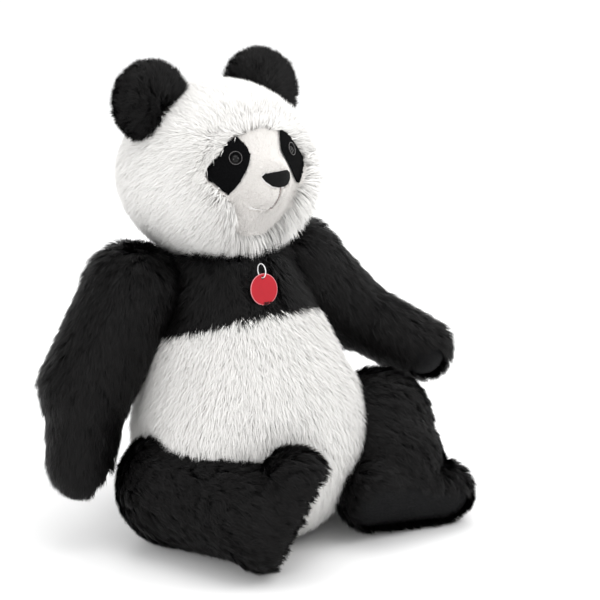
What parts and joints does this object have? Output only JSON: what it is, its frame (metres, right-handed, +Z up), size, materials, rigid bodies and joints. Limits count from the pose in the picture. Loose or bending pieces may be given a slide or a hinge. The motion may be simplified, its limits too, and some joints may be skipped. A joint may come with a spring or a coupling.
{
  "type": "plush panda",
  "caption": "Large seated stuffed panda with long white and black pile, flat velvety soles, glossy safety eyes, turning head, swinging arms and a round red hang tag.",
  "frame": {"origin": "on the floor, under the flat of the seat, in the middle between the two sides", "axes": "-Y towards the front that the belly faces, +Z up, -X towards the panda's right hand"},
  "size_m": [0.574, 0.4161, 0.5989],
  "materials": {
    "white_pile": "long-pile white plush, faintly warm",
    "black_pile": "long-pile black plush with grey highlights",
    "white_short_pile": "short sheared white pile",
    "black_felt": "short dense black pile, sharp cut outline",
    "pad_velvet": "short smooth black pile",
    "filling": "white polyester fibre filling",
    "seam_thread": "doubled black sewing thread",
    "nose_yarn": "black satin-stitched yarn",
    "eye_plastic": "polished black",
    "washer_plastic": "white moulded",
    "tag_gloss": "glossy red card with a paler rim, left blank",
    "tag_nylon": "translucent white loop"
  },
  "bodies": {
    "torso": {"belly_panel_right": "white_pile", "belly_panel_left": "white_pile", "chest_panel": "black_pile", "back_panel_right": "black_pile", "back_panel_left": "black_pile", "seat_panel": "black_pile", "torso_filling": "filling", "tag_loop": "tag_nylon"},
    "neck": {"neck_filling": "filling", "neck_seam": "seam_thread"},
    "head": {"head_side_right": "white_pile", "head_side_left": "white_pile", "head_gusset": "white_pile", "chin_panel": "white_pile", "face_panel": "white_short_pile", "muzzle_pad": "white_short_pile", "eye_patch_right": "black_felt", "eye_patch_left": "black_felt", "eye_right": "eye_plastic", "eye_left": "eye_plastic", "eye_washer_right": "washer_plastic", "eye_washer_left": "washer_plastic", "nose": "nose_yarn", "mouth_stitch": "nose_yarn", "head_filling": "filling"},
    "ear_right": {"ear_front_right": "black_pile", "ear_back_right": "black_pile"},
    "arm_right": {"upper_arm_cover_right": "black_pile", "forearm_cover_right": "black_pile", "palm_pad_right": "pad_velvet", "arm_filling_right": "filling", "shoulder_seam_right": "seam_thread"},
    "leg_right": {"leg_cover_right": "black_pile", "foot_cover_right": "black_pile", "sole_pad_right": "pad_velvet", "leg_filling_right": "filling", "hip_seam_right": "seam_thread"},
    "ear_left": {"ear_front_left": "black_pile", "ear_back_left": "black_pile"},
    "arm_left": {"upper_arm_cover_left": "black_pile", "forearm_cover_left": "black_pile", "palm_pad_left": "pad_velvet", "arm_filling_left": "filling", "shoulder_seam_left": "seam_thread"},
    "leg_left": {"leg_cover_left": "black_pile", "foot_cover_left": "black_pile", "sole_pad_left": "pad_velvet", "leg_filling_left": "filling", "hip_seam_left": "seam_thread"},
    "tag": {"hang_tag": "tag_gloss"}
  },
  "joints": [
    {"name": "neck_turn", "type": "hinge", "parent": "torso", "child": "neck", "pos_m": [0.004, 0.024, 0.35], "axis": [0, 0, 1], "range_deg": [-30, 30], "stiffness_Nm_per_rad": 1.5},
    {"name": "neck_nod", "type": "hinge", "parent": "neck", "child": "head", "pos_m": [0.004, 0.024, 0.35], "axis": [1, 0, 0], "range_deg": [-8, 8], "stiffness_Nm_per_rad": 8},
    {"name": "shoulder_right", "type": "hinge", "parent": "torso", "child": "arm_right", "pos_m": [-0.128, 0.024, 0.322], "axis": [-1, 0, 0], "range_deg": [-15, 50], "stiffness_Nm_per_rad": 1.2},
    {"name": "shoulder_left", "type": "hinge", "parent": "torso", "child": "arm_left", "pos_m": [0.126, 0.022, 0.322], "axis": [-1, 0, 0], "range_deg": [-20, 40], "stiffness_Nm_per_rad": 1.2},
    {"name": "hip_right", "type": "hinge", "parent": "torso", "child": "leg_right", "pos_m": [-0.118, -0.062, 0.078], "axis": [0, 0, -1], "range_deg": [0, 18], "stiffness_Nm_per_rad": 1.2},
    {"name": "hip_left", "type": "hinge", "parent": "torso", "child": "leg_left", "pos_m": [0.126, -0.062, 0.078], "axis": [0, 0, 1], "range_deg": [0, 18], "stiffness_Nm_per_rad": 1.2},
    {"name": "ear_fold_right", "type": "hinge", "parent": "head", "child": "ear_right", "pos_m": [-0.07983, 0.03217, 0.55287], "axis": [0.7137, 0.2059, 0.6695], "range_deg": [-15, 15], "stiffness_Nm_per_rad": 0.4},
    {"name": "ear_fold_left", "type": "hinge", "parent": "head", "child": "ear_left", "pos_m": [0.0843, 0.04942, 0.55287], "axis": [0.7409, -0.053, -0.6695], "range_deg": [-15, 15], "stiffness_Nm_per_rad": 0.4},
    {"name": "tag_swing", "type": "hinge", "parent": "torso", "child": "tag", "pos_m": [-0.006, -0.09647, 0.3458], "axis": [-1, 0, 0], "range_deg": [0, 40]}
  ]
}
